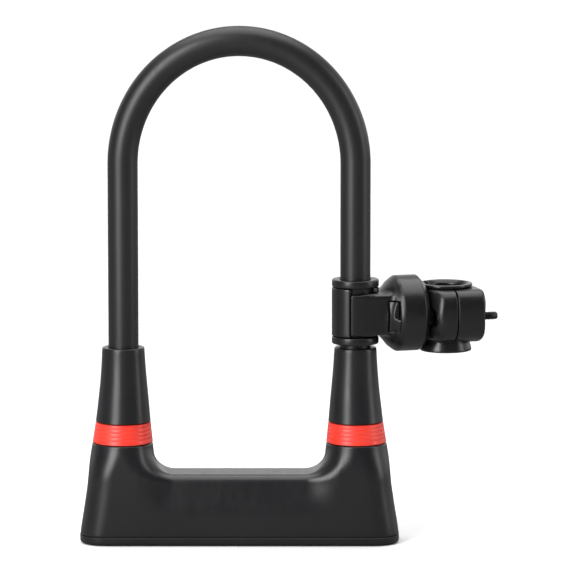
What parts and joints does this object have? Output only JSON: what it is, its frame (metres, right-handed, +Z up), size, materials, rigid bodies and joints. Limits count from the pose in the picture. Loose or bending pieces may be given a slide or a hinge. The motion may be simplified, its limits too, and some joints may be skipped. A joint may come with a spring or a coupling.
{
  "type": "bicycle u lock",
  "caption": "Bicycle U lock: coated steel shackle in a plastic-clad crossbar with a keyed twin-bolt lock, and a swivelling frame-mount bracket on one leg.",
  "frame": {"origin": "centre of the crossbar's flat underside, midway between the shackle legs", "axes": "+Z up along the shackle legs, +X along the crossbar towards the leg that carries the bracket, +Y to the back"},
  "size_m": [0.2138, 0.0544, 0.2652],
  "materials": {
    "housing_plastic": "satin moulded black plastic",
    "bracket_plastic": "fine textured black plastic",
    "accent_red": "satin red plastic",
    "soft_coating": "smooth soft black coating",
    "rubber": "matt black rubber",
    "nylon": "natural nylon",
    "steel": "hardened steel",
    "zinc": "cast zinc",
    "brass": "turned brass"
  },
  "bodies": {
    "crossbar": {"housing": "housing_plastic", "base_cover": "housing_plastic", "cover_screw_left": "steel", "cover_screw_right": "steel", "column_sleeve_left": "housing_plastic", "column_sleeve_right": "housing_plastic", "accent_ring_left": "accent_red", "accent_ring_right": "accent_red", "column_bush_left": "nylon", "column_bush_right": "nylon", "lock_tube": "steel", "end_plug_left": "steel", "end_plug_right": "steel", "foot_pad_left": "rubber", "foot_pad_right": "rubber", "bolt_guide_left": "zinc", "bolt_guide_right": "zinc", "lock_cylinder": "brass", "cylinder_screw_left": "steel", "cylinder_screw_right": "steel"},
    "barrel": {"turning_barrel": "brass", "side_bar": "steel", "drive_pinion": "steel", "detainer_disc_1": "brass", "detainer_disc_2": "brass", "detainer_disc_3": "brass", "detainer_disc_4": "brass", "detainer_disc_5": "brass"},
    "bolt_right": {"bolt_right": "steel"},
    "bolt_left": {"bolt_left": "steel"},
    "shutter": {"keyhole_shutter": "housing_plastic"},
    "shackle": {"shackle_bar": "steel", "shackle_cover": "soft_coating"},
    "spool": {"leg_spool": "bracket_plastic"},
    "holder": {"holder_arm": "bracket_plastic", "collar_keeper": "bracket_plastic", "cup_ring": "bracket_plastic", "latch_spring": "steel"},
    "latch": {"release_button": "bracket_plastic", "latch_plate": "steel"},
    "mount": {"mount_body": "bracket_plastic", "hinge_pin": "steel", "tube_shim": "rubber"},
    "screw": {"clamp_screw": "steel"},
    "nut": {"clamp_nut": "steel"},
    "jaw": {"clamp_jaw": "bracket_plastic"}
  },
  "joints": [
    {"name": "barrel_turn", "type": "hinge", "parent": "crossbar", "child": "barrel", "pos_m": [0, 0, 0.012], "axis": [0, 0, 1], "range_deg": [0, 90]},
    {"name": "bolt_right_slide", "type": "slide", "parent": "crossbar", "child": "bolt_right", "axis": [1, 0, 0], "range_m": [0, 0.00628]},
    {"name": "bolt_left_slide", "type": "slide", "parent": "crossbar", "child": "bolt_left", "axis": [-1, 0, 0], "range_m": [0, 0.0063]},
    {"name": "shutter_slide", "type": "slide", "parent": "crossbar", "child": "shutter", "axis": [1, 0, 0], "range_m": [0, 0.014]},
    {"name": "shackle_pull", "type": "slide", "parent": "crossbar", "child": "shackle", "axis": [0, 0, 1], "range_m": [0, 0.11]},
    {"name": "spool_slide", "type": "slide", "parent": "shackle", "child": "spool", "axis": [0, 0, 1], "range_m": [0, 0.06]},
    {"name": "holder_swivel", "type": "hinge", "parent": "spool", "child": "holder", "pos_m": [0.0592, 0, 0.117], "axis": [0, 0, 1], "continuous": true},
    {"name": "release_press", "type": "slide", "parent": "holder", "child": "latch", "axis": [-0.2756, 0.9613, 0], "range_m": [0, 0.0022], "stiffness_N_per_m": 900, "springref_m": -0.002},
    {"name": "mount_swivel", "type": "hinge", "parent": "holder", "child": "mount", "pos_m": [0.0938, 0.00992, 0.117], "axis": [0.9613, 0.2756, 0], "continuous": true},
    {"name": "clamp_screw_turn", "type": "hinge", "parent": "mount", "child": "screw", "pos_m": [0.11012, -0.00163, 0.116], "axis": [-0.9613, -0.2756, 0], "range_deg": [0, 1440]},
    {"name": "clamp_nut_travel", "type": "slide", "parent": "mount", "child": "nut", "axis": [0.9613, 0.2756, 0], "range_m": [0, 0.0032]},
    {"name": "clamp_jaw_open", "type": "hinge", "parent": "mount", "child": "jaw", "pos_m": [0.10097, 0.03029, 0.117], "axis": [0, 0, 1], "range_deg": [0, 5.5]}
  ],
  "couplings": [
    {"joint": "barrel_turn", "follows": "bolt_right_slide", "rad_per_m": 250},
    {"joint": "bolt_left_slide", "follows": "bolt_right_slide", "ratio": 1},
    {"joint": "clamp_nut_travel", "follows": "clamp_jaw_open", "m_per_rad": 0.0332},
    {"joint": "clamp_screw_turn", "follows": "clamp_jaw_open", "ratio": 260.75}
  ]
}
